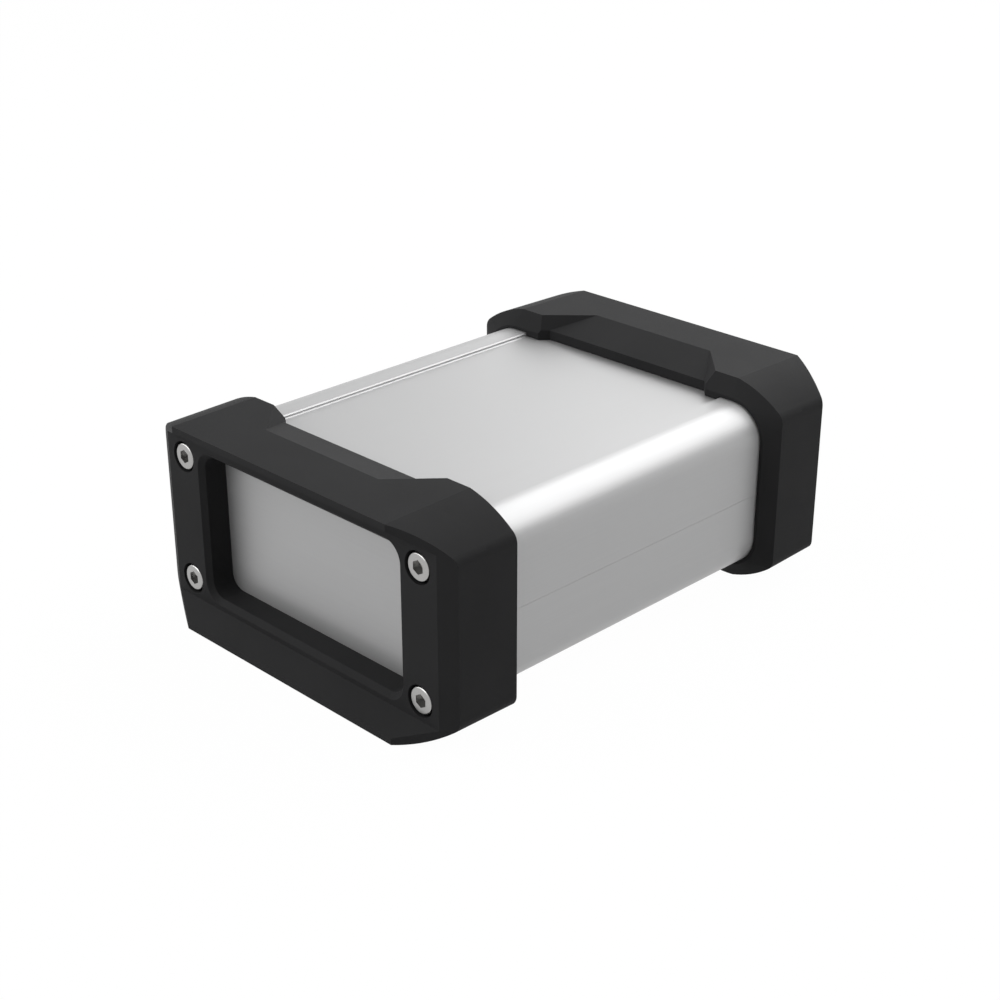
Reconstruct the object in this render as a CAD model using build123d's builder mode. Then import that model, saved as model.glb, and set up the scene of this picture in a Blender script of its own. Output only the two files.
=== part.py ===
from build123d import *
from math import atan, cos, radians, sin, tan
import os

"""Split aluminium enclosure: two extruded half shells, an end panel and a seal at each end,
and a moulded bumper frame over each end, held by four socket head cap screws a side.

Millimetres. X is the width, Y the length with the front at -Y, Z is up. The origin is under
the middle of the enclosure, on the surface it stands on.
"""

# Extruded body
body_width = 77.8
body_height = 36.2
body_length = 91.0
body_corner_radius = 7.3
side_wall = 2.0
top_wall = 2.6
rail_width = 11.0
recess_depth = 0.8
recess_edge_bevel = 0.22
recess_foot_radius = 0.4
cavity_corner_radius = 4.0

# Seam between the shells
seam_below_middle = 0.5
seam_bevel = 0.05
seam_pad_reach = 1.0
seam_pad_height = 2.2
tongue_thickness = 0.9
tongue_height = 1.3
tongue_clearance = 0.1

# Slots for a circuit board
board_slot = 1.8
board_slot_height = 4.5
guide_rib_thickness = 1.2
guide_rib_reach = 2.2

# End panels and seals
panel_thickness = 2.0
seal_thickness = 1.0
seal_inset = 0.3

# Screws, M3 x 12 socket head cap
screw_side_inset = 4.8
screw_top_inset = 4.6
thread_diameter = 3.0
screw_length = 12.0
head_diameter = 5.5
head_height = 3.0
head_edge_radius = 0.35
socket_across_flats = 2.5
socket_depth = 1.4
thread_clearance = 0.05
screw_hole_diameter = 3.4
counterbore_diameter = 6.5
head_recess = 0.15
screw_boss_diameter = 6.8
boss_slot = 1.4

# Bumper frames
frame_side_wall = 3.55
frame_top_wall = 4.15
frame_front_wall = 5.95
frame_draft = 1.0
frame_collar = 16.0
frame_band = 2.15
frame_lip = 0.8
frame_fit = 0.15
corner_start_slope = 10.9
corner_join_slope = 38.0
corner_bow_radius = 25.0
corner_round_radius = 2.4
lip_bow_radius = 9.0
lip_round_radius = 7.4

# Brow and sill, the lips that stand in front of the screw face
brow_reach = 4.4
brow_rim = 1.4
brow_height = 4.65
face_margin = 0.15

# Window in each frame
window_side_margin = 10.3
window_top_margin = 2.6
window_corner_radius = 3.2
window_bevel = 1.05

# Scoops in the top and bottom of each frame
scoop_start = 7.1
scoop_half_width = 16.35
scoop_side_slope = 0.954
scoop_end = 16.2
scoop_depth = 2.6
scoop_side_taper = 35.0

# Sizes that follow from the ones above
recess_width = body_width - 2 * rail_width
screw_pitch_x = body_width - 2 * screw_side_inset
screw_pitch_z = body_height - 2 * screw_top_inset
window_width = body_width - 2 * window_side_margin
window_height = body_height - 2 * window_top_margin
face_half_width = body_width / 2 + face_margin
frame_width = body_width + 2 * frame_side_wall
frame_height = body_height + 2 * frame_top_wall
draft_growth = (brow_reach + frame_collar) * tan(radians(frame_draft))
collar_top = frame_height + draft_growth
middle = frame_height / 2
shell_start = frame_front_wall + panel_thickness + seal_thickness
face_span = body_length + 2 * shell_start
face_y = -face_span / 2
collar_end = frame_collar + frame_band
seam = -seam_below_middle
boss_points = [(x * screw_pitch_x / 2, z * screw_pitch_z / 2) for x in (-1, 1) for z in (-1, 1)]
clear = 1.0
tiny = 0.01


def section(depth):
    """Plane across the enclosure, depth behind the front screw face, centred at mid-height."""
    return Plane(origin=(0, face_y + depth, middle), x_dir=(-1, 0, 0), z_dir=(0, 1, 0))


def body_outline(margin=0.0):
    """Outer outline of the extrusion with its top and bottom recess, grown by margin."""
    with BuildSketch() as outline:
        RectangleRounded(
            body_width + 2 * margin,
            body_height + 2 * margin,
            body_corner_radius + margin,
        )
        with GridLocations(0, body_height + 2 * margin, 1, 2):
            Rectangle(recess_width - 2 * margin, 2 * recess_depth, mode=Mode.SUBTRACT)
        foot_height = body_height / 2 + margin - recess_depth
        feet = outline.vertices().filter_by(lambda v: abs(abs(v.Y) - foot_height) < tiny)
        fillet(feet, radius=recess_foot_radius - margin)
    return outline.sketch


def collar_outline(half_width, half_height, start_slope, bow_radius, round_radius):
    """Outline of a frame: flat top, a shallow bow that turns down, a tight round, upright side."""
    start = radians(start_slope)
    join = radians(corner_join_slope)
    join_x = half_width - round_radius * (1 - sin(join))
    join_z = half_height - bow_radius * (cos(start) - cos(join))
    flat_half = join_x - bow_radius * (sin(join) - sin(start))
    side_half = join_z - round_radius * cos(join)
    with BuildSketch() as outline:
        with BuildLine():
            Line((0, 0), (0, half_height))
            Line((0, half_height), (flat_half, half_height))
            RadiusArc((flat_half, half_height), (join_x, join_z), bow_radius)
            RadiusArc((join_x, join_z), (half_width, side_half), round_radius)
            Line((half_width, side_half), (half_width, 0))
            Line((half_width, 0), (0, 0))
        make_face()
        mirror(about=Plane.YZ)
        mirror(about=Plane.XZ)
    return outline.sketch, flat_half


outer_outline, flat_half = collar_outline(
    frame_width / 2, frame_height / 2, corner_start_slope, corner_bow_radius, corner_round_radius
)
collar_end_outline, _ = collar_outline(
    frame_width / 2 + draft_growth,
    frame_height / 2 + draft_growth,
    corner_start_slope,
    corner_bow_radius + draft_growth,
    corner_round_radius + draft_growth,
)
lip_outline, _ = collar_outline(
    body_width / 2 + frame_lip, body_height / 2 + frame_lip, 0.0, lip_bow_radius, lip_round_radius
)

# Section of the extrusion before it is parted: walls, screw bosses and board guides
with BuildSketch() as full_section:
    add(body_outline())
    chamfer(
        full_section.vertices().filter_by(
            lambda v: abs(abs(v.X) - recess_width / 2) < tiny and abs(v.Y) > body_height / 2 - tiny
        ),
        length=recess_edge_bevel,
    )
    RectangleRounded(
        body_width - 2 * side_wall,
        body_height - 2 * top_wall,
        cavity_corner_radius,
        mode=Mode.SUBTRACT,
    )
    with Locations(*boss_points):
        Circle(screw_boss_diameter / 2)
    add(body_outline(), mode=Mode.INTERSECT)
    with Locations(*boss_points):
        Circle(thread_diameter / 2 + thread_clearance, mode=Mode.SUBTRACT)
    for x, z in boss_points:
        side = -1 if x > 0 else 1
        with Locations((x + side * screw_boss_diameter / 4, z)):
            Rectangle(screw_boss_diameter / 2 + clear, boss_slot, mode=Mode.SUBTRACT)
    rib_pitch = board_slot + guide_rib_thickness
    for middle_z in (board_slot_height, -board_slot_height):
        with Locations((0, middle_z)):
            with GridLocations(body_width - 2 * side_wall - guide_rib_reach, rib_pitch, 2, 2):
                Rectangle(guide_rib_reach, guide_rib_thickness)
    with Locations((0, seam)):
        with GridLocations(body_width - 2 * side_wall - seam_pad_reach, 0, 2, 1):
            Rectangle(seam_pad_reach, 2 * seam_pad_height)

tongue_x = body_width / 2 - side_wall + tongue_thickness / 2

# Upper shell, with the groove of the seam along both sides
with BuildPart() as upper_shell:
    with BuildSketch(section(shell_start)) as upper_section:
        add(full_section.sketch)
        with Locations((0, seam)):
            Rectangle(body_width + clear, body_height, align=(Align.CENTER, Align.MAX), mode=Mode.SUBTRACT)
        with Locations((-tongue_x, seam), (tongue_x, seam)):
            Rectangle(
                tongue_thickness + 2 * tongue_clearance,
                2 * (tongue_height + tongue_clearance),
                mode=Mode.SUBTRACT,
            )
        chamfer(upper_section.vertices().group_by(Axis.Z)[0].sort_by(Axis.X)[0], length=seam_bevel)
        chamfer(upper_section.vertices().group_by(Axis.Z)[0].sort_by(Axis.X)[-1], length=seam_bevel)
    extrude(amount=body_length)

# Lower shell, with the tongue of the seam along both sides
with BuildPart() as lower_shell:
    with BuildSketch(section(shell_start)) as lower_section:
        add(full_section.sketch)
        with Locations((0, seam)):
            Rectangle(body_width + clear, body_height, align=(Align.CENTER, Align.MIN), mode=Mode.SUBTRACT)
        chamfer(lower_section.vertices().group_by(Axis.Z)[-1].sort_by(Axis.X)[0], length=seam_bevel)
        chamfer(lower_section.vertices().group_by(Axis.Z)[-1].sort_by(Axis.X)[-1], length=seam_bevel)
        with Locations((-tongue_x, seam), (tongue_x, seam)):
            Rectangle(tongue_thickness, 2 * tongue_height)
    extrude(amount=body_length)

# End panel behind the window of the front frame
with BuildPart() as front_panel:
    with BuildSketch(section(frame_front_wall)):
        add(body_outline())
        with Locations(*boss_points):
            Circle(screw_hole_diameter / 2, mode=Mode.SUBTRACT)
    extrude(amount=panel_thickness)

# Seal between the panel and the ends of the shells
with BuildPart() as front_seal:
    with BuildSketch(section(frame_front_wall + panel_thickness)):
        add(body_outline(-seal_inset))
        RectangleRounded(
            body_width - 2 * side_wall,
            body_height - 2 * top_wall,
            cavity_corner_radius,
            mode=Mode.SUBTRACT,
        )
        with Locations(*boss_points):
            Circle(screw_boss_diameter / 2)
        add(body_outline(-seal_inset), mode=Mode.INTERSECT)
        with Locations(*boss_points):
            Circle(screw_hole_diameter / 2, mode=Mode.SUBTRACT)
    extrude(amount=seal_thickness)

# Scoop: a sloping floor between splayed sides, then a step down to the extrusion
with BuildPart() as scoop:
    start_top = frame_height + (brow_reach + scoop_start) * tan(radians(frame_draft))
    splay = tan(radians(scoop_side_taper)) / cos(atan(scoop_side_slope))
    start_half = scoop_half_width + (collar_top - start_top) * splay - scoop_side_slope * clear
    scoop_run = 2 * (collar_end - scoop_start)
    end_half = start_half + scoop_side_slope * scoop_run
    with BuildSketch(Plane.XY.offset(collar_top)):
        with BuildLine():
            Polyline(
                (-start_half, face_y + scoop_start - clear),
                (start_half, face_y + scoop_start - clear),
                (end_half, face_y + scoop_start - clear + scoop_run),
                (-end_half, face_y + scoop_start - clear + scoop_run),
                close=True,
            )
        make_face()
    extrude(amount=-frame_top_wall, taper=scoop_side_taper)
    with BuildSketch(Plane.YZ):
        with BuildLine():
            Polyline(
                (face_y + scoop_start, collar_top),
                (face_y + scoop_start, start_top),
                (face_y + scoop_end, frame_height - scoop_depth),
                (face_y + collar_end + clear, frame_height - scoop_depth),
                (face_y + collar_end + clear, collar_top),
                close=True,
            )
        make_face()
    extrude(amount=frame_width, both=True, mode=Mode.INTERSECT)
    step_face = scoop.faces().filter_by(Axis.Z).sort_by(Axis.Z)[0]
    extrude(step_face, amount=frame_top_wall)

# Bumper frame over the front end
with BuildPart() as front_frame:
    with BuildSketch(section(-brow_reach)):
        add(outer_outline)
    with BuildSketch(section(frame_collar)):
        add(collar_end_outline)
    with BuildSketch(section(collar_end)):
        add(lip_outline)
    loft(ruled=True)

    # Flat foot, without the draft that the other sides have
    split(bisect_by=Plane.XY, keep=Keep.TOP)

    # Screw face set back between the brow and the sill
    with BuildSketch(Plane.YZ):
        with BuildLine():
            Polyline(
                (face_y - brow_reach - clear, brow_rim),
                (face_y - brow_reach, brow_rim),
                (face_y, brow_height),
                (face_y, frame_height - brow_height),
                (face_y - brow_reach, frame_height - brow_rim),
                (face_y - brow_reach - clear, frame_height - brow_rim),
                close=True,
            )
        make_face()
    extrude(amount=frame_width, both=True, mode=Mode.SUBTRACT)

    # Corners cut back by an upright plane from the brow's end past the edge of the screw face
    corner_slope = brow_reach / (face_half_width - flat_half)
    outer_x = frame_width / 2 + draft_growth + clear
    with BuildSketch(Plane.XY):
        with BuildLine():
            Polyline(
                (flat_half, face_y - brow_reach),
                (outer_x, face_y + (outer_x - face_half_width) * corner_slope),
                (outer_x, face_y - brow_reach - clear),
                (flat_half, face_y - brow_reach - clear),
                close=True,
            )
        make_face()
        mirror(about=Plane.YZ)
    extrude(amount=collar_top, mode=Mode.SUBTRACT)

    # Window with a bevelled front edge
    with BuildSketch(section(0)):
        RectangleRounded(window_width, window_height, window_corner_radius)
    extrude(amount=frame_front_wall, mode=Mode.SUBTRACT)
    with BuildSketch(section(0)):
        RectangleRounded(
            window_width + 2 * window_bevel,
            window_height + 2 * window_bevel,
            window_corner_radius + window_bevel,
        )
    extrude(amount=window_bevel, taper=45, mode=Mode.SUBTRACT)

    # Pocket that fits over the panel, the seal and the ends of the shells
    with BuildSketch(section(frame_front_wall)):
        add(body_outline(frame_fit))
    extrude(amount=collar_end, mode=Mode.SUBTRACT)

    # Scoops in the top and the bottom
    add(scoop.part, mode=Mode.SUBTRACT)
    add(scoop.part.mirror(Plane.XY.offset(middle)), mode=Mode.SUBTRACT)

    # Counterbored screw holes
    with Locations(Plane(origin=(0, face_y, middle), x_dir=(1, 0, 0), z_dir=(0, -1, 0))):
        with GridLocations(screw_pitch_x, screw_pitch_z, 2, 2):
            CounterBoreHole(
                radius=screw_hole_diameter / 2,
                counter_bore_radius=counterbore_diameter / 2,
                counter_bore_depth=head_height + head_recess,
                depth=frame_front_wall + clear,
            )

# The rear end repeats the front end, turned half round
with BuildPart() as rear_panel:
    add(front_panel.part.rotate(Axis.Z, 180))

with BuildPart() as rear_seal:
    add(front_seal.part.rotate(Axis.Z, 180))

with BuildPart() as rear_frame:
    add(front_frame.part.rotate(Axis.Z, 180))

# Socket head cap screw, its head's face on the XZ plane and its thread towards +Y
head_plane = Plane(origin=(0, 0, 0), x_dir=(-1, 0, 0), z_dir=(0, 1, 0))
with BuildPart() as cap_screw:
    with BuildSketch(head_plane):
        Circle(head_diameter / 2)
    extrude(amount=head_height)
    fillet(cap_screw.edges().group_by(Axis.Y)[0], radius=head_edge_radius)
    with BuildSketch(head_plane.offset(head_height)):
        Circle(thread_diameter / 2)
    extrude(amount=screw_length)
    chamfer(cap_screw.edges().group_by(Axis.Y)[-1], length=thread_diameter / 8)
    with BuildSketch(head_plane):
        RegularPolygon(socket_across_flats / 2, side_count=6, major_radius=False, rotation=30)
    extrude(amount=socket_depth, mode=Mode.SUBTRACT)

parts = {
    "upper_shell": upper_shell,
    "lower_shell": lower_shell,
    "front_panel": front_panel,
    "rear_panel": rear_panel,
    "front_seal": front_seal,
    "rear_seal": rear_seal,
    "front_frame": front_frame,
    "rear_frame": rear_frame,
}

for end, turn in (("front", 0), ("rear", 180)):
    for level, z in (("lower", -screw_pitch_z / 2), ("upper", screw_pitch_z / 2)):
        for side, x in (("left", -screw_pitch_x / 2), ("right", screw_pitch_x / 2)):
            with BuildPart() as screw:
                seat = Location((x, face_y + head_recess, middle + z))
                add(cap_screw.part.moved(seat).rotate(Axis.Z, turn))
            parts[f"{end}_screw_{level}_{side}"] = screw

os.makedirs("parts", exist_ok=True)
for name, piece in parts.items():
    piece.part.label = name
    export_step(piece.part, f"parts/{name}.step")
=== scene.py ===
"""Looks of a split aluminium enclosure with two bumper frames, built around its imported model.

Metres throughout. X is the width, Y the length with the front at -Y, and Z is up.
"""

import logging
import math
from dataclasses import dataclass, field
from enum import Enum
from typing import Any

import bpy
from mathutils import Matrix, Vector


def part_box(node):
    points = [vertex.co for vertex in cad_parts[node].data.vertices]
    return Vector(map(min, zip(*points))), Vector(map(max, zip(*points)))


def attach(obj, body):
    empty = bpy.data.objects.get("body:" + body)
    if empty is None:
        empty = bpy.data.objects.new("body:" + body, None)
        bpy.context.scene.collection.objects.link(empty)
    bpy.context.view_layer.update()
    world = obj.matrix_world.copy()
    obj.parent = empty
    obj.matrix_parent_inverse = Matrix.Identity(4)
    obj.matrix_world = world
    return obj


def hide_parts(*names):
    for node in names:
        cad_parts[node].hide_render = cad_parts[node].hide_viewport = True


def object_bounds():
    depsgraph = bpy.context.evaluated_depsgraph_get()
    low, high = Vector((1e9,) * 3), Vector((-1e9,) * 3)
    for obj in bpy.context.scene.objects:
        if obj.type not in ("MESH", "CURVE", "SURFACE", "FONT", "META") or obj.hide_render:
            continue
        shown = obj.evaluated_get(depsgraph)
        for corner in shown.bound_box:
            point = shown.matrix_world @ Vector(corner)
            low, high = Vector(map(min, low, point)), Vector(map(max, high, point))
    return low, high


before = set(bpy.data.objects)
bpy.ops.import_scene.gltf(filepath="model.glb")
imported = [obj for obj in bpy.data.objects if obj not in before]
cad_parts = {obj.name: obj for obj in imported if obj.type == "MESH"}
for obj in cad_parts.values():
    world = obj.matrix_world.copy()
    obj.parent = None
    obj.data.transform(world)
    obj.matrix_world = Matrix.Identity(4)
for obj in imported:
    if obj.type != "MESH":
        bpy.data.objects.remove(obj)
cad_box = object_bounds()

LOG = logging.getLogger("enclosure")
MM = 0.001
BODY = "root"
WHITE = (1.0, 1.0, 1.0, 1.0)
NOISE_ROUGHNESS = 0.55
NOISE_RANGE = (0.3, 0.7)
HEXAGON = 6


class Slot(Enum):
    """Material slots of the record."""

    SHELL = "shell"
    PANEL = "panel"
    FRAME = "frame"
    SCREW = "screw"
    SEAL = "seal"


class Grain(Enum):
    """Direction in which a metal surface was drawn or brushed."""

    ALONG = (1.0, 0.0, 1.0)
    ACROSS = (0.0, 1.0, 1.0)


class End(Enum):
    """The two ends of the enclosure, and the way a screw points there."""

    FRONT = "front"
    REAR = "rear"

    @property
    def turn(self) -> float:
        """Turn about Z that takes a front screw to this end."""
        return 0.0 if self is End.FRONT else math.pi


class Graph:
    """A node tree while it is being wired."""

    def __init__(self, tree: bpy.types.NodeTree) -> None:
        """Start on an emptied tree.

        Args:
            tree: The shader or geometry node tree to fill.
        """
        self.tree = tree
        tree.nodes.clear()

    def add(self, kind: str, inputs: dict[Any, Any] | None = None,
            **attributes: Any) -> bpy.types.Node:
        """Add a node.

        Args:
            kind: The node's bl_idname.
            inputs: Values or source sockets, by the input's name or index.
            attributes: Properties of the node itself.

        Returns:
            The new node.
        """
        node = self.tree.nodes.new(kind)
        for name, value in attributes.items():
            setattr(node, name, value)
        for key, value in (inputs or {}).items():
            if isinstance(value, bpy.types.NodeSocket):
                self.tree.links.new(value, node.inputs[key])
            else:
                node.inputs[key].default_value = value
        return node

    def math(self, operation: str, *values: Any) -> bpy.types.NodeSocket:
        """Add a Math node.

        Args:
            operation: The node's operation.
            values: Numbers or sockets for its inputs, in order.

        Returns:
            The result's socket.
        """
        kind = "ShaderNodeMath"
        return self.add(kind, dict(enumerate(values)), operation=operation).outputs[0]

    def seen(self) -> bpy.types.NodeSocket:
        """Return 1 for camera, glossy and transmission rays, and 0 for the rest."""
        path = self.add("ShaderNodeLightPath")
        rays = path.outputs
        mirrored = self.math("MAXIMUM", rays["Is Glossy Ray"], rays["Is Transmission Ray"])
        return self.math("MAXIMUM", rays["Is Camera Ray"], mirrored)


@dataclass(frozen=True)
class Finish:
    """What every finish shares: a colour, a gloss and a fine relief.

    Attributes:
        name: Name of the material.
        colour: Base colour.
        metallic: 1 for bare or anodised metal, 0 for plastic and rubber.
        roughness: Mean roughness.
        roughness_swing: How far the roughness strays either way.
        grain_size: Width of the surface's finest grain.
        grain_depth: Height of that grain.
    """

    name: str
    colour: tuple[float, float, float]
    metallic: float
    roughness: float
    roughness_swing: float
    grain_size: float
    grain_depth: float

    def material(self) -> bpy.types.Material:
        """Build the material.

        Returns:
            A material with its nodes wired.
        """
        material = bpy.data.materials.new(self.name)
        material.use_nodes = True
        graph = Graph(material.node_tree)
        place = graph.add("ShaderNodeTexCoord").outputs["Object"]
        shader = graph.add("ShaderNodeBsdfPrincipled", {
            "Base Color": (*self.colour, 1.0),
            "Metallic": self.metallic,
        })
        self.dress(graph, shader, place)
        graph.add("ShaderNodeOutputMaterial", {"Surface": shader.outputs["BSDF"]})
        return material

    def noise(self, graph: Graph, place: bpy.types.NodeSocket, size: float, detail: float = 2.0,
              stretch: tuple[float, float, float] = (1.0, 1.0, 1.0)) -> bpy.types.NodeSocket:
        """Add a noise pattern.

        Args:
            graph: The material's graph.
            place: Coordinates of the surface.
            size: Width of the pattern's features.
            detail: Octaves.
            stretch: Share of the scale along each axis.

        Returns:
            The noise, about 0.5 on average.
        """
        scale = tuple(share / size for share in stretch)
        spread = graph.add("ShaderNodeMapping", {"Vector": place, "Scale": scale})
        return graph.add("ShaderNodeTexNoise", {
            "Vector": spread.outputs[0],
            "Scale": 1.0,
            "Detail": detail,
            "Roughness": NOISE_ROUGHNESS,
        }).outputs["Fac"]

    def swing(self, graph: Graph, pattern: bpy.types.NodeSocket, middle: float,
              reach: float) -> bpy.types.NodeSocket:
        """Spread a pattern over a range of values.

        Args:
            graph: The material's graph.
            pattern: Noise, about 0.5 on average.
            middle: Value at the pattern's mean.
            reach: How far the value strays either way.

        Returns:
            The value's socket.
        """
        lowest, highest = NOISE_RANGE
        return graph.add("ShaderNodeMapRange", {
            "Value": pattern,
            "From Min": lowest,
            "From Max": highest,
            "To Min": middle - reach,
            "To Max": middle + reach,
        }).outputs["Result"]

    def bump(self, graph: Graph, height: bpy.types.NodeSocket, depth: float,
             below: bpy.types.NodeSocket | None = None) -> bpy.types.NodeSocket:
        """Add relief.

        Args:
            graph: The material's graph.
            height: The relief's pattern.
            depth: Its height from low to high.
            below: Normals of a coarser relief that this one lies on.

        Returns:
            The normals' socket.
        """
        inputs = {"Height": height, "Distance": depth, "Strength": 1.0}
        if below is not None:
            inputs["Normal"] = below
        return graph.add("ShaderNodeBump", inputs).outputs["Normal"]

    def dress(self, graph: Graph, shader: bpy.types.Node, place: bpy.types.NodeSocket) -> None:
        """Wire the finish's own pattern into the shader.

        Args:
            graph: The material's graph.
            shader: The surface shader.
            place: Coordinates of the surface.
        """
        fine = self.noise(graph, place, self.grain_size)
        roughness = self.swing(graph, fine, self.roughness, self.roughness_swing)
        graph.tree.links.new(roughness, shader.inputs["Roughness"])
        graph.tree.links.new(self.bump(graph, fine, self.grain_depth), shader.inputs["Normal"])


@dataclass(frozen=True)
class Anodised(Finish):
    """Satin anodised aluminium: faint drawn lines under a fine etched grain.

    Attributes:
        grain: Direction of the lines.
        line_width: Width of one line.
        line_length: How many widths a line runs on.
        line_depth: Height of the lines.
        shade_swing: How far the lines lighten and darken the colour.
    """

    grain: Grain = Grain.ALONG
    line_width: float = 0.35 * MM
    line_length: float = 90.0
    line_depth: float = 0.0006 * MM
    shade_swing: float = 0.006

    def dress(self, graph: Graph, shader: bpy.types.Node, place: bpy.types.NodeSocket) -> None:
        """Wire the lines and the grain into the shader.

        Args:
            graph: The material's graph.
            shader: The surface shader.
            place: Coordinates of the surface.
        """
        stretch = tuple(share or 1.0 / self.line_length for share in self.grain.value)
        lines = self.noise(graph, place, self.line_width, detail=3.0, stretch=stretch)
        etched = self.noise(graph, place, self.grain_size)
        roughness = self.swing(graph, lines, self.roughness, self.roughness_swing)
        shade = graph.add("ShaderNodeCombineXYZ", {
            axis: self.swing(graph, lines, level, self.shade_swing)
            for axis, level in enumerate(self.colour)
        })
        normal = self.bump(graph, etched, self.grain_depth, self.bump(graph, lines, self.line_depth))
        graph.tree.links.new(shade.outputs[0], shader.inputs["Base Color"])
        graph.tree.links.new(roughness, shader.inputs["Roughness"])
        graph.tree.links.new(normal, shader.inputs["Normal"])


@dataclass(frozen=True)
class Moulded(Finish):
    """Matt moulded plastic with a spark-eroded grain and faint flow marks.

    Attributes:
        specular: Strength of the plastic's own gloss.
        flow_size: Width of the flow marks.
        flow_swing: How far they lighten and darken the colour, as a share.
    """

    specular: float = 0.5
    flow_size: float = 14.0 * MM
    flow_swing: float = 0.06

    def dress(self, graph: Graph, shader: bpy.types.Node, place: bpy.types.NodeSocket) -> None:
        """Wire the grain and the flow marks into the shader.

        Args:
            graph: The material's graph.
            shader: The surface shader.
            place: Coordinates of the surface.
        """
        shader.inputs["Specular IOR Level"].default_value = self.specular
        flow = self.noise(graph, place, self.flow_size, detail=1.0)
        eroded = self.noise(graph, place, self.grain_size, detail=4.0)
        shade = graph.add("ShaderNodeCombineXYZ", {
            axis: self.swing(graph, flow, level, level * self.flow_swing)
            for axis, level in enumerate(self.colour)
        })
        roughness = self.swing(graph, eroded, self.roughness, self.roughness_swing)
        graph.tree.links.new(shade.outputs[0], shader.inputs["Base Color"])
        graph.tree.links.new(roughness, shader.inputs["Roughness"])
        graph.tree.links.new(self.bump(graph, eroded, self.grain_depth), shader.inputs["Normal"])


SHELL_FINISH = Anodised(
    name="satin_anodised_extrusion",
    colour=(0.365, 0.365, 0.367),
    metallic=0.45,
    roughness=0.40,
    roughness_swing=0.02,
    grain_size=0.12 * MM,
    grain_depth=0.0025 * MM,
)
PANEL_FINISH = Anodised(
    name="satin_anodised_panel",
    colour=(0.35, 0.35, 0.352),
    metallic=0.55,
    roughness=0.42,
    roughness_swing=0.02,
    grain_size=0.12 * MM,
    grain_depth=0.003 * MM,
    grain=Grain.ACROSS,
)
FRAME_FINISH = Moulded(
    name="matt_black_moulding",
    colour=(0.0165, 0.0165, 0.017),
    metallic=0.0,
    roughness=0.6,
    roughness_swing=0.05,
    grain_size=0.16 * MM,
    grain_depth=0.012 * MM,
    specular=0.05,
)
SCREW_FINISH = Finish(
    name="stainless_screw",
    colour=(0.38, 0.376, 0.37),
    metallic=1.0,
    roughness=0.3,
    roughness_swing=0.06,
    grain_size=0.10 * MM,
    grain_depth=0.002 * MM,
)
SEAL_FINISH = Moulded(
    name="black_seal_rubber",
    colour=(0.030, 0.030, 0.030),
    metallic=0.0,
    roughness=0.75,
    roughness_swing=0.05,
    grain_size=0.25 * MM,
    grain_depth=0.01 * MM,
)


@dataclass
class CadPieces:
    """Nodes of the frame that keep their shape and take a finish.

    Attributes:
        title: What the pieces are, for the log.
        nodes: Their names in the frame.
        finish: The finish that they share.
    """

    title: str
    nodes: tuple[str, ...]
    finish: Finish

    def build(self) -> None:
        """Give each node the finish."""
        material = self.finish.material()
        for name in self.nodes:
            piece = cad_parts[name]
            for slot in piece.material_slots:
                slot.material = material
            LOG.info("%s: %s", self.title, name)


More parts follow.
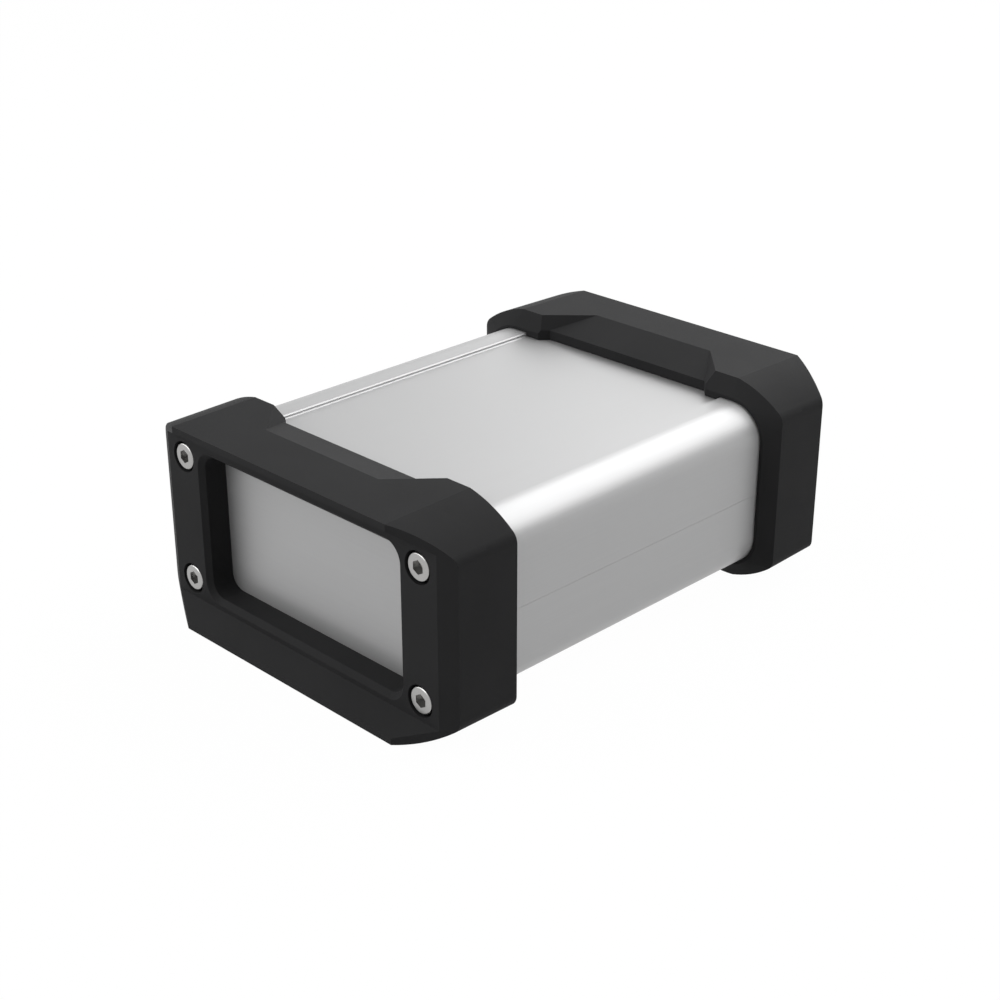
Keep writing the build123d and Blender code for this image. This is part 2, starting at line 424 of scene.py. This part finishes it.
@dataclass
class CapScrews:
    """Socket head cap screws of one end, in place of their plain CAD solids.

    Attributes:
        end: The end that they hold.
        head_height: Height of the head.
        edge_radius: Rounding of the head's face.
        socket_across_flats: Width of the hexagon socket.
        socket_depth: Depth of the socket.
        drill_point: Angle of the drilled floor.
        thread_diameter: Outer diameter of the thread.
        thread_pitch: Advance of the thread in one turn.
        thread_depth: Depth of the thread's grooves.
        tip_bevel: Bevel of the thread's end.
        around: Facets around the head and the drill point, twice those around the thread.
        edge_steps: Facets across the rounding of the head's face.
        rows_per_turn: Facets along one turn of the thread.
        cutter_reach: How far the socket's cutter stands out of the head.
        drill_overlap: How far the drill point's cutter reaches into the hexagon's.
        shank_overlap: How far the shank reaches into the head.
        sharp_angle: Angle from which an edge is shaded sharp.
        nodes: Names of the CAD screws that these replace.
    """

    end: End
    head_height: float = 3.0 * MM
    edge_radius: float = 0.35 * MM
    socket_across_flats: float = 2.5 * MM
    socket_depth: float = 1.8 * MM
    drill_point: float = math.radians(118.0)
    thread_diameter: float = 3.0 * MM
    thread_pitch: float = 0.5 * MM
    thread_depth: float = 0.29 * MM
    tip_bevel: float = 0.35 * MM
    around: int = 64
    edge_steps: int = 6
    rows_per_turn: int = 6
    cutter_reach: float = 2.0 * MM
    drill_overlap: float = 0.01 * MM
    shank_overlap: float = 0.02 * MM
    sharp_angle: float = math.radians(32.0)
    nodes: list[str] = field(init=False)

    def __post_init__(self) -> None:
        """Find the screws of this end in the frame."""
        prefix = f"{self.end.value}_screw"
        self.nodes = sorted(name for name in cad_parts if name.startswith(prefix))

    def seats(self) -> bpy.types.Object:
        """Make the points at the centres of the heads' faces.

        Returns:
            An object of points alone.
        """
        points = []
        for name in self.nodes:
            low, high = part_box(name)
            middle = (low + high) / 2
            face = low.y if self.end is End.FRONT else high.y
            points.append(Vector((middle.x, face, middle.z)))
        mesh = bpy.data.meshes.new(f"{self.end.value}_cap_screws")
        mesh.from_pydata(points, [], [])
        seats = bpy.data.objects.new(mesh.name, mesh)
        bpy.context.scene.collection.objects.link(seats)
        return seats

    def values(self) -> dict[str, Any]:
        """Return the tree's inputs by name, the head's diameter and the length from the frame."""
        low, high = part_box(self.nodes[0])
        return {
            "Head Radius": (high.x - low.x) / 2,
            "Head Height": self.head_height,
            "Edge Radius": self.edge_radius,
            "Socket Radius": self.socket_across_flats / math.sqrt(3.0),
            "Socket Depth": self.socket_depth,
            "Thread Radius": self.thread_diameter / 2,
            "Thread Length": high.y - low.y - self.head_height,
            "Thread Pitch": self.thread_pitch,
            "Thread Depth": self.thread_depth,
            "Tip Bevel": self.tip_bevel,
            "Turn": self.end.turn,
        }

    def lathe(self, graph: Graph, radius: bpy.types.NodeSocket, height: bpy.types.NodeSocket,
              rounding: bpy.types.NodeSocket) -> bpy.types.NodeSocket:
        """Turn the head: a rounded edge at Z 0 and straight sides up to its height.

        Args:
            graph: The tree's graph.
            radius: Radius of the head.
            height: Height of the head.
            rounding: Radius of the rounded edge.

        Returns:
            The head's closed mesh.
        """
        steps = self.edge_steps
        line = graph.add("GeometryNodeMeshLine", {"Count": steps + 2})
        curve = graph.add("GeometryNodeMeshToCurve", {"Mesh": line.outputs[0]})
        index = graph.add("GeometryNodeInputIndex").outputs[0]
        angle = graph.math("MULTIPLY", graph.math("MINIMUM", index, float(steps)), math.pi / 2 / steps)
        last = graph.math("GREATER_THAN", index, steps + 0.5)
        rise = graph.math("MULTIPLY", rounding, graph.math("SUBTRACT", 1.0, graph.math("COSINE", angle)))
        above = graph.math("MULTIPLY", last, graph.math("SUBTRACT", height, rounding))
        level = graph.math("ADD", rise, above)
        inset = graph.math("MULTIPLY", rounding, graph.math("SUBTRACT", 1.0, graph.math("SINE", angle)))
        spot = graph.add("ShaderNodeCombineXYZ", {"Z": level})
        placed = graph.add("GeometryNodeSetPosition", {
            "Geometry": curve.outputs[0],
            "Position": spot.outputs[0],
        })
        width = graph.math("SUBTRACT", radius, inset)
        sized = graph.add("GeometryNodeSetCurveRadius", {"Curve": placed.outputs[0], "Radius": width})
        ring = graph.add("GeometryNodeCurvePrimitiveCircle", {
            "Resolution": self.around,
            "Radius": 1.0,
        })
        solid = graph.add("GeometryNodeCurveToMesh", {
            "Curve": sized.outputs[0],
            "Profile Curve": ring.outputs[0],
            "Fill Caps": True,
        })
        if "Scale" in solid.inputs:
            graph.tree.links.new(width, solid.inputs["Scale"])
        return solid.outputs[0]

    def socket_cutter(self, graph: Graph, sizes: bpy.types.Node) -> list[bpy.types.NodeSocket]:
        """Make the hexagon that is cut out of the head, with its drilled floor.

        Args:
            graph: The tree's graph.
            sizes: The tree's input node.

        Returns:
            The cutter's meshes.
        """
        depth = sizes.outputs["Socket Depth"]
        half_facet = math.pi / HEXAGON
        length = graph.math("ADD", depth, self.cutter_reach)
        hexagon = graph.add("GeometryNodeMeshCylinder", {
            "Vertices": HEXAGON,
            "Radius": sizes.outputs["Socket Radius"],
            "Depth": length,
        })
        lift = graph.math("SUBTRACT", depth, graph.math("MULTIPLY", length, 0.5))
        upright = graph.add("GeometryNodeTransform", {
            "Geometry": hexagon.outputs["Mesh"],
            "Translation": graph.add("ShaderNodeCombineXYZ", {"Z": lift}).outputs[0],
            "Rotation": (0.0, 0.0, half_facet),
        })
        drill_radius = graph.math("MULTIPLY", sizes.outputs["Socket Radius"], math.cos(half_facet))
        drilled = graph.add("GeometryNodeMeshCone", {
            "Vertices": self.around,
            "Radius Top": 0.0,
            "Radius Bottom": drill_radius,
            "Depth": graph.math("DIVIDE", drill_radius, math.tan(self.drill_point / 2)),
        })
        floor = graph.math("SUBTRACT", depth, self.drill_overlap)
        hollow = graph.add("GeometryNodeTransform", {
            "Geometry": drilled.outputs["Mesh"],
            "Translation": graph.add("ShaderNodeCombineXYZ", {"Z": floor}).outputs[0],
        })
        return [upright.outputs[0], hollow.outputs[0]]

    def thread(self, graph: Graph, sizes: bpy.types.Node) -> bpy.types.NodeSocket:
        """Make the threaded shank, with grooves that run out at both ends.

        Args:
            graph: The tree's graph.
            sizes: The tree's input node.

        Returns:
            The shank's closed mesh, from the head's underside on.
        """
        length = sizes.outputs["Thread Length"]
        pitch = sizes.outputs["Thread Pitch"]
        turns = graph.math("DIVIDE", length, pitch)
        rows = graph.math("MULTIPLY", turns, float(self.rows_per_turn))
        shank = graph.add("GeometryNodeMeshCylinder", {
            "Vertices": self.around // 2,
            "Side Segments": rows,
            "Radius": sizes.outputs["Thread Radius"],
            "Depth": length,
        })
        position = graph.add("GeometryNodeInputPosition").outputs[0]
        parts = graph.add("ShaderNodeSeparateXYZ", {"Vector": position})
        along = graph.math("ADD", parts.outputs["Z"], graph.math("MULTIPLY", length, 0.5))
        angle = graph.math("ARCTAN2", parts.outputs["Y"], parts.outputs["X"])
        turn = graph.math("DIVIDE", angle, 2 * math.pi)
        phase = graph.math("SUBTRACT", graph.math("DIVIDE", along, pitch), turn)
        groove = graph.math("MULTIPLY", graph.math("PINGPONG", phase, 0.5), 2.0)
        start = graph.math("DIVIDE", along, pitch)
        rest = graph.math("SUBTRACT", length, along)
        stop = graph.math("DIVIDE", rest, pitch)
        runout = graph.math("MINIMUM", graph.math("MINIMUM", start, stop), 1.0)
        faded = graph.math("MULTIPLY", groove, runout)
        cut = graph.math("MULTIPLY", faded, sizes.outputs["Thread Depth"])
        tip = graph.math("SUBTRACT", sizes.outputs["Tip Bevel"], rest)
        bevel = graph.math("MAXIMUM", tip, 0.0)
        inward = graph.math("MAXIMUM", cut, bevel)
        share = graph.math("DIVIDE", inward, sizes.outputs["Thread Radius"])
        flat = graph.add("ShaderNodeCombineXYZ", {
            "X": parts.outputs["X"],
            "Y": parts.outputs["Y"],
        })
        offset = graph.add("ShaderNodeVectorMath", {
            "Vector": flat.outputs[0],
            "Scale": graph.math("MULTIPLY", share, -1.0),
        }, operation="SCALE")
        cut_shank = graph.add("GeometryNodeSetPosition", {
            "Geometry": shank.outputs["Mesh"],
            "Offset": offset.outputs["Vector"],
        })
        under_head = graph.math("SUBTRACT", sizes.outputs["Head Height"], self.shank_overlap)
        lift = graph.math("ADD", under_head, graph.math("MULTIPLY", length, 0.5))
        moved = graph.add("GeometryNodeTransform", {
            "Geometry": cut_shank.outputs[0],
            "Translation": graph.add("ShaderNodeCombineXYZ", {"Z": lift}).outputs[0],
        })
        return moved.outputs[0]

    def tree(self) -> bpy.types.NodeTree:
        """Build the geometry tree that puts a screw on each seat.

        Returns:
            A geometry node tree with one named input for each size.
        """
        tree = bpy.data.node_groups.new("cap_screws", "GeometryNodeTree")
        tree.interface.new_socket("Geometry", in_out="INPUT", socket_type="NodeSocketGeometry")
        for name in self.values():
            tree.interface.new_socket(name, in_out="INPUT", socket_type="NodeSocketFloat")
        tree.interface.new_socket("Material", in_out="INPUT", socket_type="NodeSocketMaterial")
        tree.interface.new_socket("Geometry", in_out="OUTPUT", socket_type="NodeSocketGeometry")
        graph = Graph(tree)
        sizes = graph.add("NodeGroupInput")
        head = self.lathe(graph, sizes.outputs["Head Radius"], sizes.outputs["Head Height"],
                          sizes.outputs["Edge Radius"])
        cut_head = graph.add("GeometryNodeMeshBoolean", {"Mesh 1": head},
                             operation="DIFFERENCE", solver="EXACT")
        for cutter in self.socket_cutter(graph, sizes):
            tree.links.new(cutter, cut_head.inputs["Mesh 2"])
        screw = graph.add("GeometryNodeJoinGeometry")
        tree.links.new(cut_head.outputs["Mesh"], screw.inputs[0])
        tree.links.new(self.thread(graph, sizes), screw.inputs[0])
        points = graph.add("GeometryNodeMeshToPoints", {"Mesh": sizes.outputs["Geometry"]})
        facing = graph.add("ShaderNodeCombineXYZ", {
            "X": -math.pi / 2,
            "Z": sizes.outputs["Turn"],
        })
        placed = graph.add("GeometryNodeInstanceOnPoints", {
            "Points": points.outputs[0],
            "Instance": screw.outputs[0],
            "Rotation": facing.outputs[0],
        })
        real = graph.add("GeometryNodeRealizeInstances", {"Geometry": placed.outputs[0]})
        finished = graph.add("GeometryNodeSetMaterial", {
            "Geometry": real.outputs[0],
            "Material": sizes.outputs["Material"],
        })
        graph.add("NodeGroupOutput", {"Geometry": finished.outputs[0]})
        return tree

    def build(self) -> None:
        """Make the screws of this end one plain mesh, and let it stand for their CAD nodes."""
        seats = self.seats()
        tree = self.tree()
        modifier = seats.modifiers.new("cap_screws", "NODES")
        modifier.node_group = tree
        values = self.values() | {"Material": SCREW_FINISH.material()}
        for item in tree.interface.items_tree:
            if item.in_out == "INPUT" and item.name in values:
                modifier[item.identifier] = values[item.name]
        evaluated = seats.evaluated_get(bpy.context.evaluated_depsgraph_get())
        mesh = bpy.data.meshes.new_from_object(evaluated)
        mesh.name = f"{self.end.value}_cap_screws_mesh"
        seats.modifiers.remove(modifier)
        seats.data = mesh
        mesh.shade_smooth()
        mesh.set_sharp_from_angle(angle=self.sharp_angle)
        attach(seats, BODY)
        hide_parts(*self.nodes)
        LOG.info("%s: %d faces for %d screws", seats.name, len(mesh.polygons), len(self.nodes))


@dataclass
class Softbox:
    """An oblong area light aimed at the object.

    Attributes:
        name: Name of the light.
        direction: Where it stands, as seen from the object.
        distance: How far off it stands.
        width: Its width across.
        height: Its height, upright to its width.
        radiance: How much brighter it shows than plain white.
    """

    name: str
    direction: tuple[float, float, float]
    distance: float
    width: float
    height: float
    radiance: float

    def build(self, target: Vector) -> None:
        """Hang the light.

        Args:
            target: The point that it is aimed at.
        """
        light = bpy.data.lights.new(self.name, "AREA")
        light.shape = "RECTANGLE"
        light.size = self.width
        light.size_y = self.height
        light.energy = self.radiance * math.pi * self.width * self.height
        lamp = bpy.data.objects.new(self.name, light)
        way = Vector(self.direction).normalized()
        lamp.location = target + way * self.distance
        lamp.rotation_euler = way.to_track_quat("Z", "Y").to_euler()
        bpy.context.scene.collection.objects.link(lamp)


@dataclass
class Studio:
    """A white floor and surround, and soft lights.

    Attributes:
        floor_size: Width of the floor.
        floor_colour: The floor's own grey.
        floor_white: Share of the floor that shows plain white instead of its lit colour.
        floor_gap: How far the floor lies under the object's foot.
        ambient: Level of the surround's light on matt surfaces.
        lights: The softboxes.
    """

    floor_size: float = 8.0
    floor_colour: float = 0.85
    floor_white: float = 0.985
    floor_gap: float = 0.02 * MM
    ambient: float = 0.08
    lights: tuple[Softbox, ...] = (
        Softbox("back_softbox", (0.26, 0.7, 0.85), 0.8, 1.3, 0.55, 3.8),
        Softbox("back_scrim", (-0.38, 0.84, 0.42), 1.2, 0.9, 1.0, 0.75),
        Softbox("left_softbox", (-0.66, -0.72, 0.75), 1.0, 1.4, 1.1, 2.15),
        Softbox("front_scrim", (-0.15, -0.78, 0.6), 1.2, 0.9, 0.7, 1.3),
        Softbox("right_scrim", (0.85, -0.3, 0.4), 1.2, 1.0, 0.8, 0.2),
    )

    def surround(self) -> None:
        """Light matt surfaces at the ambient level, and show white to all that sees it."""
        world = bpy.data.worlds.new("studio_surround")
        world.use_nodes = True
        graph = Graph(world.node_tree)
        white = graph.add("ShaderNodeBackground", {"Color": WHITE, "Strength": 1.0})
        soft = graph.add("ShaderNodeBackground", {"Color": WHITE, "Strength": self.ambient})
        mixed = graph.add("ShaderNodeMixShader", {
            0: graph.seen(),
            1: soft.outputs[0],
            2: white.outputs[0],
        })
        graph.add("ShaderNodeOutputWorld", {"Surface": mixed.outputs[0]})
        bpy.context.scene.world = world

    def floor(self) -> None:
        """Lay a floor that shows as white and keeps a soft shadow."""
        material = bpy.data.materials.new("white_floor")
        material.use_nodes = True
        graph = Graph(material.node_tree)
        lit = graph.add("ShaderNodeBsdfDiffuse", {"Color": (*(self.floor_colour,) * 3, 1.0)})
        white = graph.add("ShaderNodeEmission", {"Color": WHITE, "Strength": 1.0})
        share = graph.math("MULTIPLY", graph.seen(), self.floor_white)
        mixed = graph.add("ShaderNodeMixShader", {
            0: share,
            1: lit.outputs[0],
            2: white.outputs[0],
        })
        graph.add("ShaderNodeOutputMaterial", {"Surface": mixed.outputs[0]})
        half = self.floor_size / 2
        ways = ((-1, -1), (1, -1), (1, 1), (-1, 1))
        corners = [(x * half, y * half, -self.floor_gap) for x, y in ways]
        mesh = bpy.data.meshes.new("studio_floor")
        mesh.from_pydata(corners, [], [(0, 1, 2, 3)])
        mesh.materials.append(material)
        floor = bpy.data.objects.new("studio_floor", mesh)
        bpy.context.scene.collection.objects.link(floor)

    def build(self) -> None:
        """Set up the whole studio."""
        low, high = cad_box
        self.surround()
        self.floor()
        for light in self.lights:
            light.build((low + high) / 2)
        LOG.info("studio: %d lights", len(self.lights))


@dataclass
class PhotoCamera:
    """The camera where the photograph was taken from.

    Attributes:
        azimuth: Degrees round the object, from the front towards its right.
        elevation: Degrees above the horizon.
        place: Where the camera stands.
        lens: Focal length in millimetres.
        sensor: Width of the sensor in millimetres.
        nearest: Distance from which the camera sees.
        farthest: Distance up to which it sees.
    """

    azimuth: float = 45.0
    elevation: float = 24.93
    place: tuple[float, float, float] = (240.82 * MM, -240.81 * MM, 177.93 * MM)
    lens: float = 64.66
    sensor: float = 36.0
    nearest: float = 0.01
    farthest: float = 20.0

    def build(self) -> None:
        """Stand the camera in its place and make it the scene's own."""
        data = bpy.data.cameras.new("photo_camera")
        data.lens = self.lens
        data.sensor_width = self.sensor
        data.clip_start = self.nearest
        data.clip_end = self.farthest
        camera = bpy.data.objects.new("photo_camera", data)
        camera.location = self.place
        tilt = math.radians(90.0 - self.elevation)
        camera.rotation_euler = (tilt, 0.0, math.radians(self.azimuth))
        bpy.context.scene.collection.objects.link(camera)
        bpy.context.scene.camera = camera
        LOG.info("camera: azimuth %.2f, elevation %.2f", self.azimuth, self.elevation)


def main() -> None:
    """Dress the pieces, make the screws, and set up the studio and the camera."""
    logging.basicConfig(level=logging.INFO, format="%(message)s")
    ends = [end.value for end in End]
    parts = [
        CadPieces("extruded shell", ("upper_shell", "lower_shell"), SHELL_FINISH),
        CadPieces("end panel", tuple(f"{end}_panel" for end in ends), PANEL_FINISH),
        CadPieces("seal", tuple(f"{end}_seal" for end in ends), SEAL_FINISH),
        CadPieces("bumper frame", tuple(f"{end}_frame" for end in ends), FRAME_FINISH),
        CapScrews(End.FRONT),
        CapScrews(End.REAR),
        Studio(),
        PhotoCamera(),
    ]
    for part in parts:
        part.build()
    bpy.context.scene.view_settings.view_transform = "Standard"


if __name__ == "__main__":
    main()
